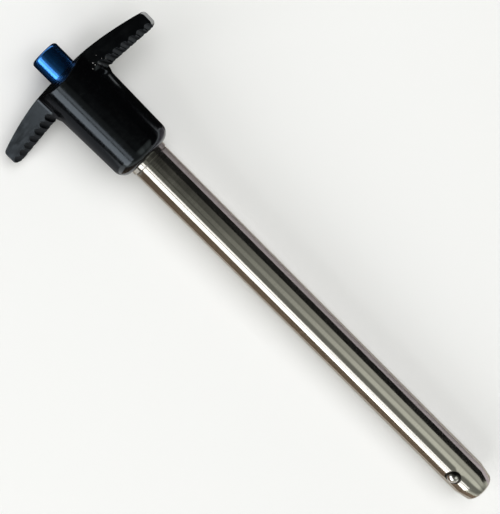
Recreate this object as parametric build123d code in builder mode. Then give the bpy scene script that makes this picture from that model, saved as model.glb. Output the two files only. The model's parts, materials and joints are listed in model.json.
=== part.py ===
from build123d import *
import os
from math import asin, atan, atan2, cos, degrees, hypot, radians, sin, sqrt, tan

os.makedirs("parts", exist_ok=True)

# T-handle ball lock pin, lying on a level surface.
# Stations run along the pin's axis from the collar's face: negative in the handle, positive to the nose.
# Across the axis, u runs along the wings and w runs front to back. Lengths are in mm, angles in degrees.

# Shank
shank_d = 12.66
grip_length = 139.7
collar_d = 13.2
collar_length = 1.3
relief_width = 0.5
relief_depth = 0.2
nose_past_balls = 11.23
nose_taper_length = 5.5
nose_lead = 0.03
nose_end_d = 10.5
nose_edge_r = 0.8
bore_d = 6.0
bore_past_balls = 6.6
drill_point = 118.0
head_length = 24.0
head_chamfer = 0.5
spring_well_d = 10.4
spring_well_depth = 12.0

# Locking balls
ball_d = 4.762
ball_proud = 1.27
ball_drop = 1.35
ball_ride_gap = 0.02
ball_gap = 0.03
ball_lock_gap = 0.25
ball_turn = -20.8
stake_d = 5.3
stake_depth = 0.25

# Release button, spindle and spring
button_d = 9.6
button_proud = 7.9
button_edge_r = 1.1
button_gap = 0.06
button_lip = 7.0
button_travel = 3.0
flange_gap = 0.35
flange_length = 2.0
stop_gap = 0.02
tail_d = 3.2
tail_length = 8.0
rod_d = 4.8
land_gap = 0.05
guide_land_length = 10.0
groove_floor_gap = 0.06
groove_past_balls = 5.6
spindle_past_balls = 3.3
spindle_chamfer = 0.3
wire_d = 0.9
spring_turns = 5.0
spring_gap = 0.45

# Handle body
body_height = 36.1
body_top_d = 21.7
body_bottom_d = 20.6
body_bottom_r = 3.9
crown_drop = 2.9
wing_droop = 4.6

# Wings, from the body's side to the tip
wing_span = 61.4
wing_root_depth = 11.0
wing_tip_depth = 5.8
wing_root_edge = 6.2
wing_tip_edge = 8.8
wing_root_keel = 8.5
wing_tip_keel = 10.0
wing_tip_top_r = 1.7
wing_tip_under_r = 2.0
wing_tip_side_r = 0.4
root_fillet = 2.8
ridge_count = 7
ridge_start = 11.8
ridge_pitch = 2.87
ridge_cutter_r = 1.15
ridge_depth = 0.6
ridge_fade = 0.05

# Stations
body_bottom = -collar_length
body_top = body_bottom - body_height
button_top = body_top - button_proud
head_top = body_bottom - head_length
well_bottom = head_top + spring_well_depth
flange_top = body_top + button_lip
flange_bottom = flange_top + flange_length

# Radii, and the balls' place
shank_r = shank_d / 2
nose_r = shank_r - nose_lead
bore_r = bore_d / 2
ball_r = ball_d / 2
ball_seat_r = ball_r + ball_gap
locked_r = shank_r + ball_proud - ball_r
ball_edge = sqrt(ball_r**2 - (shank_r - locked_r) ** 2)
ball_station = grip_length + ball_lock_gap + ball_edge
nose_end = ball_station + nose_past_balls
nose_taper_start = nose_end - nose_taper_length

# The spindle's cone runs just under the balls, so they move in evenly as the button is pressed.
cone_angle = atan(ball_drop / button_travel)
land_r = bore_r - land_gap
ball_rise = (locked_r - land_r) * cos(cone_angle)
cone_top = ball_station + (ball_r + ball_ride_gap - ball_rise) / sin(cone_angle)
floor_r = locked_r - ball_drop - ball_r - groove_floor_gap
cone_length = (land_r - floor_r) / tan(cone_angle)
spindle_end = ball_station + spindle_past_balls

body_top_r = body_top_d / 2
wing_tip = wing_span / 2


def body_r(station):
    """Radius of the handle's tapered body at a station."""
    share = (station - body_top) / body_height
    return (body_top_d + (body_bottom_d - body_top_d) * share) / 2


def along_wing(u, root, tip):
    """A wing size at distance u from the axis, changing evenly from root to tip."""
    return root + (tip - root) * (u - body_top_r) / (wing_tip - body_top_r)


def wing_half_depth(u):
    """Half the wing's depth from front to back."""
    return along_wing(u, wing_root_depth, wing_tip_depth) / 2


def wing_edge(u):
    """Station of the lower edges of the wing's front and back faces."""
    return body_top + along_wing(u, wing_root_edge, wing_tip_edge)


def wing_keel(u):
    """Station of the wing's lowest line, midway between front and back."""
    return body_top + along_wing(u, wing_root_keel, wing_tip_keel)


# The pin lies on the rounded end of its handle, on the end of its shank and on the tip of one wing.
body_draft = atan((body_top_d - body_bottom_d) / 2 / body_height)
round_station = body_bottom - body_bottom_r
round_r = body_r(round_station) - body_bottom_r / cos(body_draft)
rest_length = nose_taper_start - round_station
rest_rise = round_r - nose_r
rest_tilt = asin(body_bottom_r / hypot(rest_rise, rest_length)) + atan2(rest_rise, rest_length)
wing_taper = atan((wing_root_depth - wing_tip_depth) / 2 / (wing_tip - body_top_r))
tip_height = (nose_taper_start - wing_edge(wing_tip)) * tan(rest_tilt) + nose_r
tip_u = wing_tip - wing_tip_side_r
tip_w = wing_half_depth(tip_u) - wing_tip_side_r / cos(wing_taper)
tip_reach = (tip_height - wing_tip_side_r) / hypot(tip_u, tip_w)
rest_roll = degrees(asin(tip_reach) - atan2(tip_w, tip_u))

# Frames: pin has u, w and the axis as its x, y and z. front holds u and station, side holds w and station.
nose_way = Vector(cos(rest_tilt), 0, -sin(rest_tilt))
wing_way = Vector(0, 1, 0).rotate(Axis((0, 0, 0), nose_way), rest_roll)
pin = Plane(origin=(0, 0, 0), x_dir=wing_way, z_dir=nose_way)
front = Plane(origin=pin.origin, x_dir=pin.x_dir, z_dir=-pin.y_dir)
side = Plane(origin=pin.origin, x_dir=pin.y_dir, z_dir=pin.x_dir)
pin_axis = Axis(pin.origin, pin.z_dir)
wing_axis = Axis(pin.origin, pin.x_dir)


def ball_seat(turn):
    """Plane at a locked ball's centre, facing out of the shank, turned from the handle's front."""
    out = pin.y_dir.rotate(pin_axis, -turn)
    return Plane(origin=pin.z_dir * ball_station + out * locked_r, x_dir=pin.z_dir, z_dir=out)


ball_seats = [ball_seat(ball_turn), ball_seat(ball_turn + 180)]


# Stakes: shallow rings pressed into the shank, which close the ball holes' mouths onto the balls.
with BuildPart() as stakes:
    for seat in ball_seats:
        with BuildSketch(seat):
            Circle(stake_d / 2)
        extrude(amount=shank_r)
    with BuildSketch(pin):
        Circle(shank_r - stake_depth)
    extrude(amount=nose_end, mode=Mode.SUBTRACT)

# Wing: tapering in depth, with a keeled underside and rounded tip corners.
with BuildPart() as wing:
    for u in (body_top_r / 2, wing_tip):
        half_depth = wing_half_depth(u)
        edge_front = (half_depth, wing_edge(u))
        edge_back = (-half_depth, wing_edge(u))
        with BuildSketch(side.offset(u)):
            with BuildLine():
                ThreePointArc(edge_front, (0, wing_keel(u)), edge_back)
                Polyline(edge_back, (-half_depth, body_top), (half_depth, body_top), edge_front)
            make_face()
    loft(ruled=True)
    end_face = wing.faces().sort_by(wing_axis)[-1]
    fillet(end_face.edges().filter_by(pin_axis), wing_tip_side_r)
    with BuildSketch(front):
        with BuildLine():
            keel_end = wing_keel(wing_tip)
            inner_end = FilletPolyline(
                (0, body_top), (wing_tip, body_top), (wing_tip, keel_end), (0, keel_end),
                radius=(0, wing_tip_under_r),
            )
            Line(inner_end @ 1, inner_end @ 0)
        make_face()
    extrude(amount=wing_root_depth, both=True, mode=Mode.INTERSECT)

# Cutters for the finger ridges. Each lies along one flank of the underside and runs out at the keel.
with BuildPart() as ridge_cutters:
    for i in range(ridge_count):
        u = ridge_start + i * ridge_pitch
        for flank in (1, -1):
            keel_point = front.from_local_coords((u, wing_keel(u) + ridge_cutter_r + ridge_fade))
            edge_point = front.from_local_coords((u, wing_edge(u) + ridge_cutter_r - ridge_depth))
            run = edge_point + pin.y_dir * flank * wing_half_depth(u) - keel_point
            with BuildSketch(Plane(origin=keel_point, x_dir=pin.x_dir, z_dir=run)):
                Circle(ridge_cutter_r)
            extrude(amount=run.length + ridge_cutter_r)

# T-handle: one moulding, with a bore for the button, its flange and the head of the shank.
with BuildPart() as t_handle:
    with BuildSketch(front):
        with BuildLine():
            flank_line = FilletPolyline(
                (body_r(body_top), body_top),
                (body_r(body_bottom), body_bottom),
                (0, body_bottom),
                radius=body_bottom_r,
            )
            Polyline(flank_line @ 1, (0, body_top), flank_line @ 0)
        make_face()
    revolve(axis=pin_axis)
    for half in (wing.part, wing.part.mirror(side)):
        add(half)
        fillet(t_handle.edges(Select.NEW), root_fillet)
    add(ridge_cutters.part, mode=Mode.SUBTRACT)
    add(ridge_cutters.part.mirror(side), mode=Mode.SUBTRACT)
    # Crown: an arc along the wings, rounded off at their tips, then a tighter one from front to back.
    with BuildSketch(front) as crown_along:
        with BuildLine():
            tip_corner = (wing_tip, body_top + wing_droop)
            far_corner = (-wing_tip, body_top + wing_droop)
            ThreePointArc(far_corner, (0, body_top), tip_corner)
            Polyline(tip_corner, (wing_tip, body_bottom), (-wing_tip, body_bottom), far_corner)
        make_face()
        fillet(crown_along.vertices().sort_by(Axis.Y)[:2], wing_tip_top_r)
    extrude(amount=body_height, both=True, mode=Mode.INTERSECT)
    with BuildSketch(side):
        with BuildLine():
            front_rim = (body_top_r, body_top + crown_drop)
            back_rim = (-body_top_r, body_top + crown_drop)
            ThreePointArc(back_rim, (0, body_top), front_rim)
            Polyline(front_rim, (body_top_r, body_bottom), (-body_top_r, body_bottom), back_rim)
        make_face()
    extrude(amount=wing_tip, both=True, mode=Mode.INTERSECT)
    with BuildSketch(pin.offset(body_top)):
        Circle(button_d / 2 + button_gap)
    extrude(amount=body_height, mode=Mode.SUBTRACT)
    with BuildSketch(pin.offset(flange_top - stop_gap)):
        Circle(shank_r)
    extrude(amount=body_bottom - flange_top + stop_gap, mode=Mode.SUBTRACT)
t_handle.part.label = "t_handle"
export_step(t_handle.part, "parts/t_handle.step")

# Shank: a turned tube with a blind nose, a collar that seats on the handle and a well for the spring.
# Past the grip it narrows a little, to lead it into a hole.
with BuildPart() as shank:
    with BuildSketch(front):
        with BuildLine():
            relief_r = shank_r - relief_depth
            collar_r = collar_d / 2
            outline = Polyline(
                (spring_well_d / 2, head_top),
                (shank_r - head_chamfer, head_top),
                (shank_r, head_top + head_chamfer),
                (shank_r, body_bottom),
                (collar_r, body_bottom),
                (collar_r, 0),
                (relief_r, 0),
                (relief_r, relief_width),
                (shank_r, relief_width),
                (shank_r, grip_length),
                (nose_r, nose_taper_start),
            )
            nose = FilletPolyline(
                outline @ 1,
                (nose_end_d / 2, nose_end),
                (0, nose_end),
                radius=nose_edge_r,
            )
            bore_end = ball_station + bore_past_balls
            Polyline(
                nose @ 1,
                (0, bore_end + bore_r / tan(radians(drill_point / 2))),
                (bore_r, bore_end),
                (bore_r, well_bottom),
                (spring_well_d / 2, well_bottom),
                outline @ 0,
            )
        make_face()
    revolve(axis=pin_axis)
    for seat in ball_seats:
        with BuildSketch(seat):
            Circle(ball_seat_r)
        extrude(amount=-locked_r, mode=Mode.SUBTRACT)
        with Locations(seat):
            Sphere(ball_seat_r, mode=Mode.SUBTRACT)
    add(stakes.part, mode=Mode.SUBTRACT)
shank.part.label = "shank"
export_step(shank.part, "parts/shank.step")

# Release button: its flange stops under the handle's lip.
with BuildPart() as release_button:
    with BuildSketch(front):
        with BuildLine():
            button_r = button_d / 2
            flange_r = shank_r - flange_gap
            crown = FilletPolyline(
                (0, button_top),
                (button_r, button_top),
                (button_r, flange_top),
                radius=button_edge_r,
            )
            Polyline(
                crown @ 1,
                (flange_r, flange_top),
                (flange_r, flange_bottom),
                (tail_d / 2, flange_bottom),
                (tail_d / 2, flange_bottom - tail_length),
                (0, flange_bottom - tail_length),
                crown @ 0,
            )
        make_face()
    revolve(axis=pin_axis)
release_button.part.label = "release_button"
export_step(release_button.part, "parts/release_button.step")

# Spindle: its land holds the balls out, and its cone lets them in as the button is pressed.
with BuildPart() as spindle:
    with BuildSketch(front):
        with BuildLine():
            Polyline(
                (0, flange_bottom - tail_length),
                (tail_d / 2, flange_bottom - tail_length),
                (tail_d / 2, flange_bottom),
                (rod_d / 2, flange_bottom),
                (rod_d / 2, well_bottom + button_travel),
                (land_r, well_bottom + button_travel),
                (land_r, well_bottom + button_travel + guide_land_length),
                (rod_d / 2, well_bottom + button_travel + guide_land_length),
                (rod_d / 2, ball_station - groove_past_balls),
                (floor_r, ball_station - groove_past_balls),
                (floor_r, cone_top - cone_length),
                (land_r, cone_top),
                (land_r, spindle_end - spindle_chamfer),
                (land_r - spindle_chamfer, spindle_end),
                (0, spindle_end),
                close=True,
            )
        make_face()
    revolve(axis=pin_axis)
spindle.part.label = "spindle"
export_step(spindle.part, "parts/spindle.step")

# Spring: pushes the button up from the bottom of the well.
with BuildPart() as spring:
    coil_r = spring_well_d / 2 - spring_gap - wire_d / 2
    coil_length = well_bottom - flange_bottom - wire_d
    with BuildLine() as coil:
        Helix(
            pitch=coil_length / spring_turns,
            height=coil_length,
            radius=coil_r,
            center=pin.z_dir * (flange_bottom + wire_d / 2),
            direction=pin.z_dir,
        )
    with BuildSketch(Plane(origin=coil.line @ 0, z_dir=coil.line % 0)):
        Circle(wire_d / 2)
    sweep(path=coil.line, is_frenet=True)
spring.part.label = "spring"
export_step(spring.part, "parts/spring.step")

# Locking balls, held out by the spindle's land.
for number, seat in enumerate(ball_seats, start=1):
    with BuildPart() as locking_ball:
        with Locations(seat):
            Sphere(ball_r)
    locking_ball.part.label = f"locking_ball_{number}"
    export_step(locking_ball.part, f"parts/locking_ball_{number}.step")
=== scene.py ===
import bpy
import json
from math import atan2, cos, pi, radians, sin, tan
from mathutils import Matrix, Vector


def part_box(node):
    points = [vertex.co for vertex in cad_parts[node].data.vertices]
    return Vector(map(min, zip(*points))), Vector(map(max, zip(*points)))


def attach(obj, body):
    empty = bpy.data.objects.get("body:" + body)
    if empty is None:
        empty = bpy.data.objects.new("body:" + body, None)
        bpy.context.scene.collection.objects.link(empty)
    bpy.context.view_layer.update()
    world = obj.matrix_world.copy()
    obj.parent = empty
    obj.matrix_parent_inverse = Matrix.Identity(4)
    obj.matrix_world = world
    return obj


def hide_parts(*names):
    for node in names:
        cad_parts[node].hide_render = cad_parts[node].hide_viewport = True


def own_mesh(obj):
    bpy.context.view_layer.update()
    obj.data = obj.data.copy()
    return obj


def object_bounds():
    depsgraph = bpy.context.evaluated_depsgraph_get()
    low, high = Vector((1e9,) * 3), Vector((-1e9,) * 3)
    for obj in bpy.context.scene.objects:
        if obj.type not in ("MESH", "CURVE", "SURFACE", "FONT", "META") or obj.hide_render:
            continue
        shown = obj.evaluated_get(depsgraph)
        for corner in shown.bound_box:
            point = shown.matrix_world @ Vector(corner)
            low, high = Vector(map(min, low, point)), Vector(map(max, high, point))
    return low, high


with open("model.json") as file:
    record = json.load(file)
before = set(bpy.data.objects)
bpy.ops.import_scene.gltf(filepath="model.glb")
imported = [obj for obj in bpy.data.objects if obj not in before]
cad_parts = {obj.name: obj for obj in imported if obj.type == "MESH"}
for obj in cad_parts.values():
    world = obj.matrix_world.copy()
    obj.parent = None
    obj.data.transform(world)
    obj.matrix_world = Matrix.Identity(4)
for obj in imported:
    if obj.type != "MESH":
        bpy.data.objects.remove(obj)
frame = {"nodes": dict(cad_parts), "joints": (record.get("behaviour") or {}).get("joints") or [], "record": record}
bpy.context.view_layer.update()
cad_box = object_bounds()
nodes = frame["nodes"]

# Lengths are in metres. Those whose names end in _mm are in mm, for shading in the pin's own frame.

# The pin lies with its axis close to +X and its nose a little low, rolled about its axis onto one wing tip.
press = next(joint for joint in frame["joints"] if joint["name"] == "button_press")
nose_way = Vector(press["axis"])
rest_tilt = atan2(-nose_way.z, nose_way.x)
rest_roll = radians(15.56)
shank_r_mm = frame["record"]["mounts"][0]["dims"]["r_mm"]

# Both balls lie on one line through the shank's axis.
ball_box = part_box("locking_ball_1")
balls_middle = (ball_box[0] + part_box("locking_ball_2")[1]) / 2
ball_out = sum(ball_box, Vector()) / 2 - balls_middle
ball_way = ball_out.normalized()
ball_r = (ball_box[1] - ball_box[0]).x / 2
ball_crown = ball_out.length + ball_r

# The nose is a cone that ends in a flat face. The face's upper edge is the pin's furthest point along +X.
nose_face_r_mm = 4.5
nose_cone_length_mm = 5.5
nose_cone_slope = 0.19
nose_end_mm = (cad_box[1].x * 1000 - nose_face_r_mm * sin(rest_tilt)) / cos(rest_tilt)
nose_start_mm = nose_end_mm - nose_cone_length_mm


# Node helpers

def node(tree, kind, inputs=None, **settings):
    """Adds a shader node. Each input is a value, or a socket to link."""
    made = tree.nodes.new(kind)
    for name, value in settings.items():
        setattr(made, name, value)
    for name, value in (inputs or {}).items():
        socket = made.inputs[name]
        if isinstance(value, bpy.types.NodeSocket):
            tree.links.new(value, socket)
        else:
            socket.default_value = value
    return made


def maths(tree, operation, a, b=0.0):
    """Result of one Math node."""
    return node(tree, "ShaderNodeMath", {0: a, 1: b}, operation=operation).outputs[0]


def product(tree, value, *factors):
    """Value multiplied by each factor."""
    for factor in factors:
        value = maths(tree, "MULTIPLY", value, factor)
    return value


def total(tree, value, *others):
    """Value with each of the others added."""
    for other in others:
        value = maths(tree, "ADD", value, other)
    return value


def vector_maths(tree, operation, a, b=(0.0, 0.0, 0.0), output="Vector"):
    """Result of one Vector Math node. Dot products and lengths come out of its Value."""
    return node(tree, "ShaderNodeVectorMath", {0: a, 1: b}, operation=operation).outputs[output]


def ramp(tree, value, low, high, to_low=0.0, to_high=1.0):
    """Value taken smoothly from low..high to to_low..to_high, and held level outside."""
    limits = {"Value": value, "From Min": low, "From Max": high, "To Min": to_low, "To Max": to_high}
    return node(tree, "ShaderNodeMapRange", limits, interpolation_type="SMOOTHSTEP").outputs[0]


def window(tree, value, opening, closing):
    """Share that goes up to 1 while the value passes one span, and back to 0 while it passes another."""
    return product(tree, ramp(tree, value, *opening), ramp(tree, value, *closing, 1.0, 0.0))


def mixed(tree, share, a, b):
    """Colour a, going to b as share goes from 0 to 1."""
    return node(tree, "ShaderNodeMix", {0: share, 6: a, 7: b}, data_type="RGBA").outputs[2]


def noise(tree, vector, scale, detail=2.0, roughness=0.5):
    """Value of a noise texture at a vector."""
    settings = {"Vector": vector, "Scale": scale, "Detail": detail, "Roughness": roughness}
    return node(tree, "ShaderNodeTexNoise", settings).outputs[0]


def scaled(tree, vector, factors):
    """A vector with each of its parts multiplied."""
    return vector_maths(tree, "MULTIPLY", vector, factors)


def bump(tree, height, strength, distance, normal=None):
    """Normal bumped by a height. The distance is in metres."""
    inputs = {"Height": height, "Strength": strength, "Distance": distance}
    if normal is not None:
        inputs["Normal"] = normal
    return node(tree, "ShaderNodeBump", inputs).outputs[0]


def pin_frame(tree):
    """Position in mm in the pin's own frame, and its parts along the axis and along the wings."""
    place = node(tree, "ShaderNodeTexCoord").outputs["Object"]
    turn = (rest_roll, rest_tilt, 0.0)
    inputs = {"Vector": place, "Rotation": turn, "Scale": (0.001, 0.001, 0.001)}
    vector = node(tree, "ShaderNodeMapping", inputs, vector_type="TEXTURE").outputs[0]
    parts = node(tree, "ShaderNodeSeparateXYZ", {0: vector})
    return vector, parts.outputs[0], parts.outputs[1]


def from_pin_axis(tree, vector):
    """Distance from the pin's axis, for a position in the pin's own frame."""
    return vector_maths(tree, "LENGTH", scaled(tree, vector, (0.0, 1.0, 1.0)), output="Value")


def from_balls_middle(tree):
    """Position in metres, counted from the point midway between the balls."""
    place = node(tree, "ShaderNodeTexCoord").outputs["Object"]
    return vector_maths(tree, "SUBTRACT", place, tuple(balls_middle))


def round_the_pin(tree):
    """Tangent that runs round the pin, as its turning and grinding lines do."""
    return node(tree, "ShaderNodeTangent", direction_type="RADIAL", axis="X").outputs[0]


def material(name, colour, **constants):
    """A material with one Principled shader. Constants go on the shader's own sockets."""
    made = bpy.data.materials.new(name)
    made.use_nodes = True
    shader = made.node_tree.nodes["Principled BSDF"]
    shader.inputs["Base Color"].default_value = (*colour, 1.0)
    for socket, value in constants.items():
        shader.inputs[socket.replace("_", " ")].default_value = value
    return made, made.node_tree, shader


def link(tree, shader, **sockets):
    """Links values to the shader's named sockets."""
    for name, value in sockets.items():
        tree.links.new(value, shader.inputs[name.replace("_", " ")])


def dress(node_name, finish):
    """Gives a CAD node a material."""
    for slot in nodes[node_name].material_slots:
        slot.material = finish


# Stainless steel: ground round its axis, so it blurs reflections along the shank and keeps them sharp across.

# Residue and painted shade fade in between two depths below the shank's surface, and out across the edge of each
# stake.
residue_and_shade_depths_mm = (0.05, 0.17)
stake_edge = (0.0026, 0.0029)


def steel_residue_and_shade(tree, vector, along):
    """Share of dark residue and painted shade, which lie in the relief groove and in the stakes round the balls.
    """
    shallow, deep = residue_and_shade_depths_mm
    sunk = ramp(tree, from_pin_axis(tree, vector), shank_r_mm - deep, shank_r_mm - shallow, 1.0, 0.0)
    behind_nose = ramp(tree, along, nose_start_mm - 1.5, nose_start_mm - 0.5, 1.0, 0.0)
    half_in_groove = ramp(tree, along, 10.0, 20.0, 0.5, 1.0)
    away = vector_maths(tree, "CROSS_PRODUCT", from_balls_middle(tree), tuple(ball_way))
    round_ball = ramp(tree, vector_maths(tree, "LENGTH", away, output="Value"), *stake_edge, 0.8, 0.0)
    return maths(tree, "MAXIMUM", product(tree, sunk, behind_nose, half_in_groove), round_ball)


def curved_nose_normal(tree, along):
    """Normal that swings evenly along the nose, which is ground to a curve where the solid is a cone."""
    bend = node(tree, "ShaderNodeMapRange", {
        "Value": along, "From Min": nose_start_mm, "From Max": nose_end_mm,
        "To Min": -nose_cone_slope, "To Max": nose_cone_slope,
    }).outputs[0]
    amount = product(tree, bend, maths(tree, "GREATER_THAN", along, nose_start_mm))
    inputs = {0: tuple(nose_way), "Scale": amount}
    swing = node(tree, "ShaderNodeVectorMath", inputs, operation="SCALE").outputs["Vector"]
    face = node(tree, "ShaderNodeNewGeometry").outputs["Normal"]
    return vector_maths(tree, "NORMALIZE", vector_maths(tree, "ADD", face, swing))


def stainless():
    made, tree, shader = material(
        "ground_stainless", (0.63, 0.61, 0.57), Metallic=1.0, Anisotropic=0.7,
        Anisotropic_Rotation=0.25, Specular_Tint=(0.42, 0.36, 0.31, 1.0),
    )
    vector, along, _ = pin_frame(tree)
    fine = noise(tree, scaled(tree, vector, (5.5, 0.05, 0.05)), 1.0, detail=4.0, roughness=0.7)
    broad = noise(tree, scaled(tree, vector, (2.0, 0.02, 0.02)), 1.0, detail=2.0)
    blotches = noise(tree, scaled(tree, vector, (0.10, 0.3, 0.3)), 1.0, detail=4.0)
    # The turning lines are strongest beside the handle.
    strength = ramp(tree, along, 2.0, 40.0, 1.0, 0.3)
    # Residue and painted shade darken the shank's recesses and make them rougher.
    residue_and_shade = steel_residue_and_shade(tree, vector, along)
    rough = total(tree, ramp(tree, blotches, 0.35, 0.75, 0.11, 0.19), product(tree, residue_and_shade, 0.35))
    lines = product(tree, ramp(tree, fine, 0.3, 0.7), strength)
    clean = mixed(tree, lines, (0.64, 0.62, 0.58, 1.0), (0.47, 0.455, 0.42, 1.0))
    colour = mixed(tree, product(tree, residue_and_shade, 0.93), clean, (0.05, 0.045, 0.04, 1.0))
    link(tree, shader, Base_Color=colour, Roughness=rough, Tangent=round_the_pin(tree))
    height = total(tree, fine, product(tree, broad, strength))
    link(tree, shader, Normal=bump(tree, height, 0.5, 0.000005, curved_nose_normal(tree, along)))
    return made


# Balls: polished, with dark grease and painted shade below the part that rubs.

rubbed_depth = 0.0006
grease_and_shade_edge = 0.0003


def polished_steel():
    made, tree, shader = material("polished_ball", (0.74, 0.73, 0.72), Metallic=1.0)
    vector = pin_frame(tree)[0]
    scuffs = noise(tree, vector, 5.0, detail=4.0, roughness=0.7)
    outward = vector_maths(tree, "DOT_PRODUCT", from_balls_middle(tree), tuple(ball_way), output="Value")
    level = total(tree, maths(tree, "ABSOLUTE", outward), product(tree, scuffs, 0.0002))
    rubbed_from = ball_crown - rubbed_depth
    # Grease and painted shade darken the ball below the rubbed crown, where it sits in its hole.
    grease_and_shade = ramp(tree, level, rubbed_from - grease_and_shade_edge, rubbed_from, 0.95, 0.0)
    rough = total(tree, ramp(tree, scuffs, 0.4, 0.8, 0.04, 0.12), product(tree, grease_and_shade, 0.35))
    colour = mixed(tree, grease_and_shade, (0.74, 0.73, 0.72, 1.0), (0.03, 0.028, 0.025, 1.0))
    link(tree, shader, Base_Color=colour, Roughness=rough)
    link(tree, shader, Normal=bump(tree, scuffs, 0.1, 0.000004))
    return made


# Spring steel: drawn wire with a satin surface.

def spring_steel():
    made, tree, shader = material("drawn_spring_wire", (0.45, 0.44, 0.42), Metallic=1.0)
    vector = pin_frame(tree)[0]
    drawn = noise(tree, vector, 7.0, detail=4.0)
    link(tree, shader, Roughness=ramp(tree, drawn, 0.3, 0.7, 0.25, 0.42))
    link(tree, shader, Normal=bump(tree, drawn, 0.2, 0.00001))
    return made


# Anodised aluminium: dyed blue, with faint turning rings.

def anodised():
    made, tree, shader = material(
        "blue_anodised", (0.02, 0.18, 0.72), Metallic=1.0, Anisotropic=0.3,
        Anisotropic_Rotation=0.25, Specular_Tint=(0.5, 0.6, 0.8, 1.0), Coat_Weight=1.0, Coat_Roughness=0.13,
    )
    vector, along, _ = pin_frame(tree)
    # One coordinate that changes along the sides and outwards across the end.
    path = maths(tree, "SUBTRACT", from_pin_axis(tree, vector), along)
    path = node(tree, "ShaderNodeCombineXYZ", {0: path}).outputs[0]
    rings = noise(tree, path, 7.0, detail=3.0, roughness=0.7)
    dye = noise(tree, vector, 0.5, detail=3.0)
    colour = mixed(tree, ramp(tree, dye, 0.3, 0.7), (0.018, 0.22, 0.78, 1.0), (0.03, 0.28, 0.92, 1.0))
    rough = ramp(tree, rings, 0.3, 0.7, 0.18, 0.26)
    link(tree, shader, Base_Color=colour, Roughness=rough, Tangent=round_the_pin(tree))
    link(tree, shader, Normal=bump(tree, rings, 0.3, 0.000006))
    return made


# Black moulding: glossy on the body and the wings' faces, with a coarser grain under the wings.

# Spans over which its finish changes: where the wings leave the body, and round the chips.
body_edge_mm = (10.5, 12.5)
chips_across_mm = ((8.0, 9.5), (13.0, 15.0))
chips_along_mm = ((-34.0, -33.0), (-31.0, -30.0))
rounding_r = 0.00022


def moulding():
    made, tree, shader = material(
        "black_moulding", (0.004, 0.004, 0.005), IOR=1.58, Specular_Tint=(0.76, 0.88, 1.0, 1.0),
    )
    vector, along, across = pin_frame(tree)
    rounded = node(tree, "ShaderNodeBevel", {"Radius": rounding_r}, samples=6).outputs[0]
    to_nose = vector_maths(tree, "DOT_PRODUCT", rounded, tuple(nose_way), output="Value")
    on_wing = ramp(tree, maths(tree, "ABSOLUTE", across), *body_edge_mm)
    under = product(tree, ramp(tree, to_nose, 0.45, 0.7), on_wing)
    crown = ramp(tree, to_nose, -0.75, -0.55, 1.0, 0.0)
    peel = noise(tree, vector, 1.1, detail=2.0)
    grain = noise(tree, vector, 6.0, detail=4.0, roughness=0.65)
    marks = noise(tree, scaled(tree, vector, (1.0, 0.35, 1.0)), 0.9, detail=5.0, roughness=0.7)
    glossy = ramp(tree, marks, 0.35, 0.75, 0.12, 0.22)
    rough = total(tree, glossy, product(tree, under, 0.34), product(tree, crown, 0.08))
    # Handling has dulled the grain to a dark grey here and there.
    worn = product(tree, ramp(tree, marks, 0.55, 0.75), ramp(tree, grain, 0.45, 0.7))
    colour = mixed(tree, worn, (0.0005, 0.0005, 0.0008, 1.0), (0.008, 0.008, 0.008, 1.0))
    # A few pale chips lie at the root of one wing.
    root = product(tree, window(tree, across, *chips_across_mm), window(tree, along, *chips_along_mm))
    chips = product(tree, root, ramp(tree, noise(tree, vector, 1.4, detail=1.0), 0.715, 0.74))
    colour = mixed(tree, chips, colour, (0.45, 0.44, 0.42, 1.0))
    link(tree, shader, Base_Color=colour, Roughness=rough)
    orange_peel = bump(tree, peel, 0.25, 0.00002, rounded)
    height = product(tree, grain, total(tree, product(tree, under, 0.9), 0.1))
    link(tree, shader, Normal=bump(tree, height, 0.5, 0.00004, orange_peel))
    return made


steel = stainless()
ball_finish = polished_steel()
dress("t_handle", moulding())
dress("shank", steel)
dress("spindle", steel)
dress("release_button", anodised())
dress("spring", spring_steel())
dress("locking_ball_1", ball_finish)
dress("locking_ball_2", ball_finish)

# The solid spring is rigid. This one has the same mesh and is attached to the body, and the solid one is hidden.
coil_mesh = nodes["spring"].data.copy()
coil = bpy.data.objects.new("return_spring", coil_mesh)
bpy.context.scene.collection.objects.link(coil)
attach(coil, "body")
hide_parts("spring")
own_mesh(coil)


# Floor

def matt(name, colour):
    """A matt material for the stage."""
    return material(name, colour, Roughness=0.9, Specular_IOR_Level=0.1)[0]


def quad(name, corners, finish):
    """A flat sheet with four corners. It is stage, not part of the pin."""
    mesh = bpy.data.meshes.new(name)
    mesh.from_pydata(corners, [], [(0, 1, 2, 3)])
    mesh.materials.append(finish)
    made = bpy.data.objects.new(name, mesh)
    bpy.context.scene.collection.objects.link(made)
    return made


floor_z = cad_box[0].z
floor_reach = 8.0
floor_signs = ((-1, -1), (1, -1), (1, 1), (-1, 1))
floor_corners = [(x * floor_reach, y * floor_reach, floor_z) for x, y in floor_signs]
quad("floor", floor_corners, matt("pale_floor", (0.9, 0.9, 0.9)))


# Light: soft boxes and cards run along the pin. Angles are from straight up, towards -Y (minus) or +Y.

def across_pin(angle, distance):
    """Point at an angle from straight up, in the plane across the pin."""
    return Vector((0.0, sin(radians(angle)) * distance, cos(radians(angle)) * distance))


def area_lamp(name, length, width, radiance, place):
    """A rectangular lamp that the camera doesn't see."""
    lamp = bpy.data.lights.new(name, "AREA")
    lamp.shape = "RECTANGLE"
    lamp.size = length
    lamp.size_y = width
    lamp.energy = radiance * pi * length * width
    made = bpy.data.objects.new(name, lamp)
    bpy.context.scene.collection.objects.link(made)
    made.matrix_world = place
    made.visible_camera = False
    return made


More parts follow.
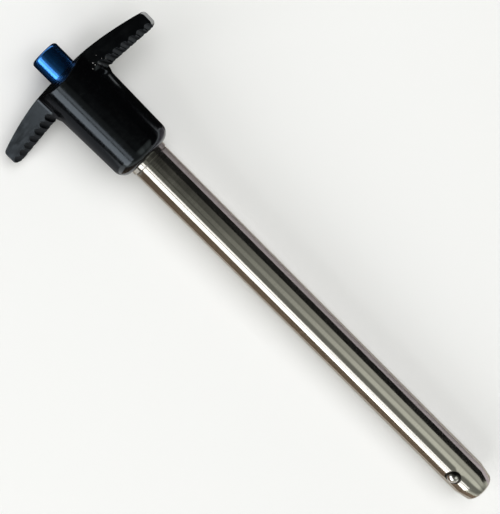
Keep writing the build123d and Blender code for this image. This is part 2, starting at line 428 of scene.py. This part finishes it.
# The key: two long strips over the -Y side, which run lower towards the nose.
key_distance = 1.5
key_length = 2.2
key_middle = Vector((-0.05, 0.0, 0.0))
key_slope = radians(-9.0)
for name, upper, lower, radiance in (("key_low", -53.6, -77.9, 2.6), ("key_high", -38.6, -49.1, 1.6)):
    width = 2 * key_distance * tan(radians((upper - lower) / 2))
    back = across_pin((upper + lower) / 2, 1.0)
    along = Matrix.Rotation(key_slope, 3, back) @ Vector((1.0, 0.0, 0.0))
    turn = Matrix((along, back.cross(along), back)).transposed().to_4x4()
    place = Matrix.Translation(back * key_distance + key_middle) @ turn
    area_lamp(name, key_length, width, radiance, place)

# The fill lights the floor and stays out of the reflections.
fill_distance = 2.0
fill_size = 2.0
fill_radiance = 2.62
fill_way = Vector((0.0, 0.30, 0.95)).normalized()
fill_turn = fill_way.to_track_quat("Z", "Y").to_matrix().to_4x4()
fill_place = Matrix.Translation(fill_way * fill_distance) @ fill_turn
area_lamp("fill", fill_size, fill_size, fill_radiance, fill_place).visible_glossy = False


# Near is the -Y side, and far is the +Y side.
black = (0.01, 0.01, 0.01)
near_edge = -0.40
far_edge = 0.26
card_lift = 0.0002


def card(name, corners, colour):
    """A card that only reflections see."""
    made = quad(name, corners, matt(name, colour))
    made.visible_camera = False
    made.visible_diffuse = False
    made.visible_shadow = False


def standing_card(name, start, end, low, high, colour, drop=0.0):
    """A card along the pin, from x start to end, between two points (y, z). Its top drops towards the end."""
    card(name, [(start, *high), (end, high[0], high[1] - drop), (end, *low), (start, *low)], colour)


def lying_card(name, start, end, y, far_y, colour):
    """A card just over the floor, between two distances from the pin."""
    z = floor_z + card_lift
    card(name, [(start, y, z), (end, y, z), (end, far_y, z), (start, far_y, z)], colour)


# A tall black card stands on the far side, and a low coloured card close to each side of the shank.
standing_card("black_card", -0.20, 0.42, (far_edge, floor_z), across_pin(49.0, far_edge).yz, black)
shank_card_y = 0.017
shank_card_end = 0.20
for side, start, y, top, drop, colour in (
    ("near", 0.001, -shank_card_y, 0.0175, 0.0060, (0.34, 0.26, 0.20)),
    ("far", -0.003, shank_card_y, 0.0145, 0.0045, (0.68, 0.62, 0.69)),
):
    standing_card(f"{side}_shank_card", start, shank_card_end, (y, floor_z), (y, floor_z + top), colour, drop)

# Round the handle the floor and the horizon look dark, but for a gap that lights the raised wing's tip.
body_front, body_back = -0.001, -0.036
wing_back = -0.08
gap_start, gap_end = 0.033, 0.046
standing_card("near_black_card", -0.50, 0.03, (near_edge, floor_z), (near_edge, floor_z + 0.118), black)
lying_card("near_handle_card", body_back, body_front, 0.0, near_edge, (0.22, 0.22, 0.23))
lying_card("near_button_card", -0.12, body_back, 0.0, near_edge, black)
lying_card("under_far_wing_card", wing_back, body_front, 0.0, gap_start, black)
lying_card("far_button_card", wing_back, -0.040, gap_start, gap_end, black)
lying_card("far_body_card", -0.023, body_front, gap_start, gap_end, black)
lying_card("far_handle_card", wing_back, body_front, gap_end, far_edge, black)


# World: a room that is pale along the horizon and dim overhead, lighter past the nose.
world = bpy.data.worlds.new("dim_room")
bpy.context.scene.world = world
world.use_nodes = True
tree = world.node_tree
way = node(tree, "ShaderNodeTexCoord").outputs["Generated"]
to_nose, to_far, upwards = node(tree, "ShaderNodeSeparateXYZ", {0: way}).outputs
lean = maths(tree, "ARCTAN2", to_far, upwards)
past_nose = product(tree, ramp(tree, to_nose, 0.05, 0.45), ramp(tree, to_nose, 0.75, 0.92, 1.0, 0.3))


def band(low, high, blur):
    """Share of a strip of the room between two angles from straight up towards +Y."""
    edges = ((radians(edge - blur), radians(edge + blur)) for edge in (low, high))
    return window(tree, lean, *edges)


def grey(value):
    """A slightly yellow grey."""
    return (value * 0.98, value, value * 0.88, 1.0)


overhead = mixed(tree, past_nose, grey(0.022), grey(0.40))
for strip, at_handle, at_nose in (
    (band(-60.0, -17.0, 3.0), 0.17, 0.20),
    (band(-12.0, 12.5, 3.0), 0.045, 0.76),
    (band(25.0, 48.0, 4.0), 0.015, 0.52),
):
    overhead = mixed(tree, strip, overhead, mixed(tree, past_nose, grey(at_handle), grey(at_nose)))
room = mixed(tree, ramp(tree, upwards, 0.04, 0.40), grey(0.75), overhead)
tree.links.new(room, tree.nodes["Background"].inputs["Color"])


# Camera: over the collar, looking down and a little towards the nose. The pin runs down to the right.
image_height = 514
focal_pixels = 1112.38
camera_place = Vector((-0.00886, 0.00027, 0.34566))
camera_roll = radians(0.04)
camera_pitch = radians(-8.60)
camera_turn = radians(44.945)
camera_data = bpy.data.cameras.new("camera")
camera_data.sensor_width = 36.0
camera_data.lens = camera_data.sensor_width * focal_pixels / image_height
camera_data.clip_start = 0.01
camera_data.clip_end = 50.0
camera = bpy.data.objects.new("camera", camera_data)
bpy.context.scene.collection.objects.link(camera)
camera.matrix_world = (
    Matrix.Translation(camera_place)
    @ Matrix.Rotation(camera_roll, 4, "X")
    @ Matrix.Rotation(camera_pitch, 4, "Y")
    @ Matrix.Rotation(camera_turn, 4, "Z")
)
bpy.context.scene.camera = camera
bpy.context.scene.view_settings.view_transform = "Standard"

bpy.context.view_layer.update()
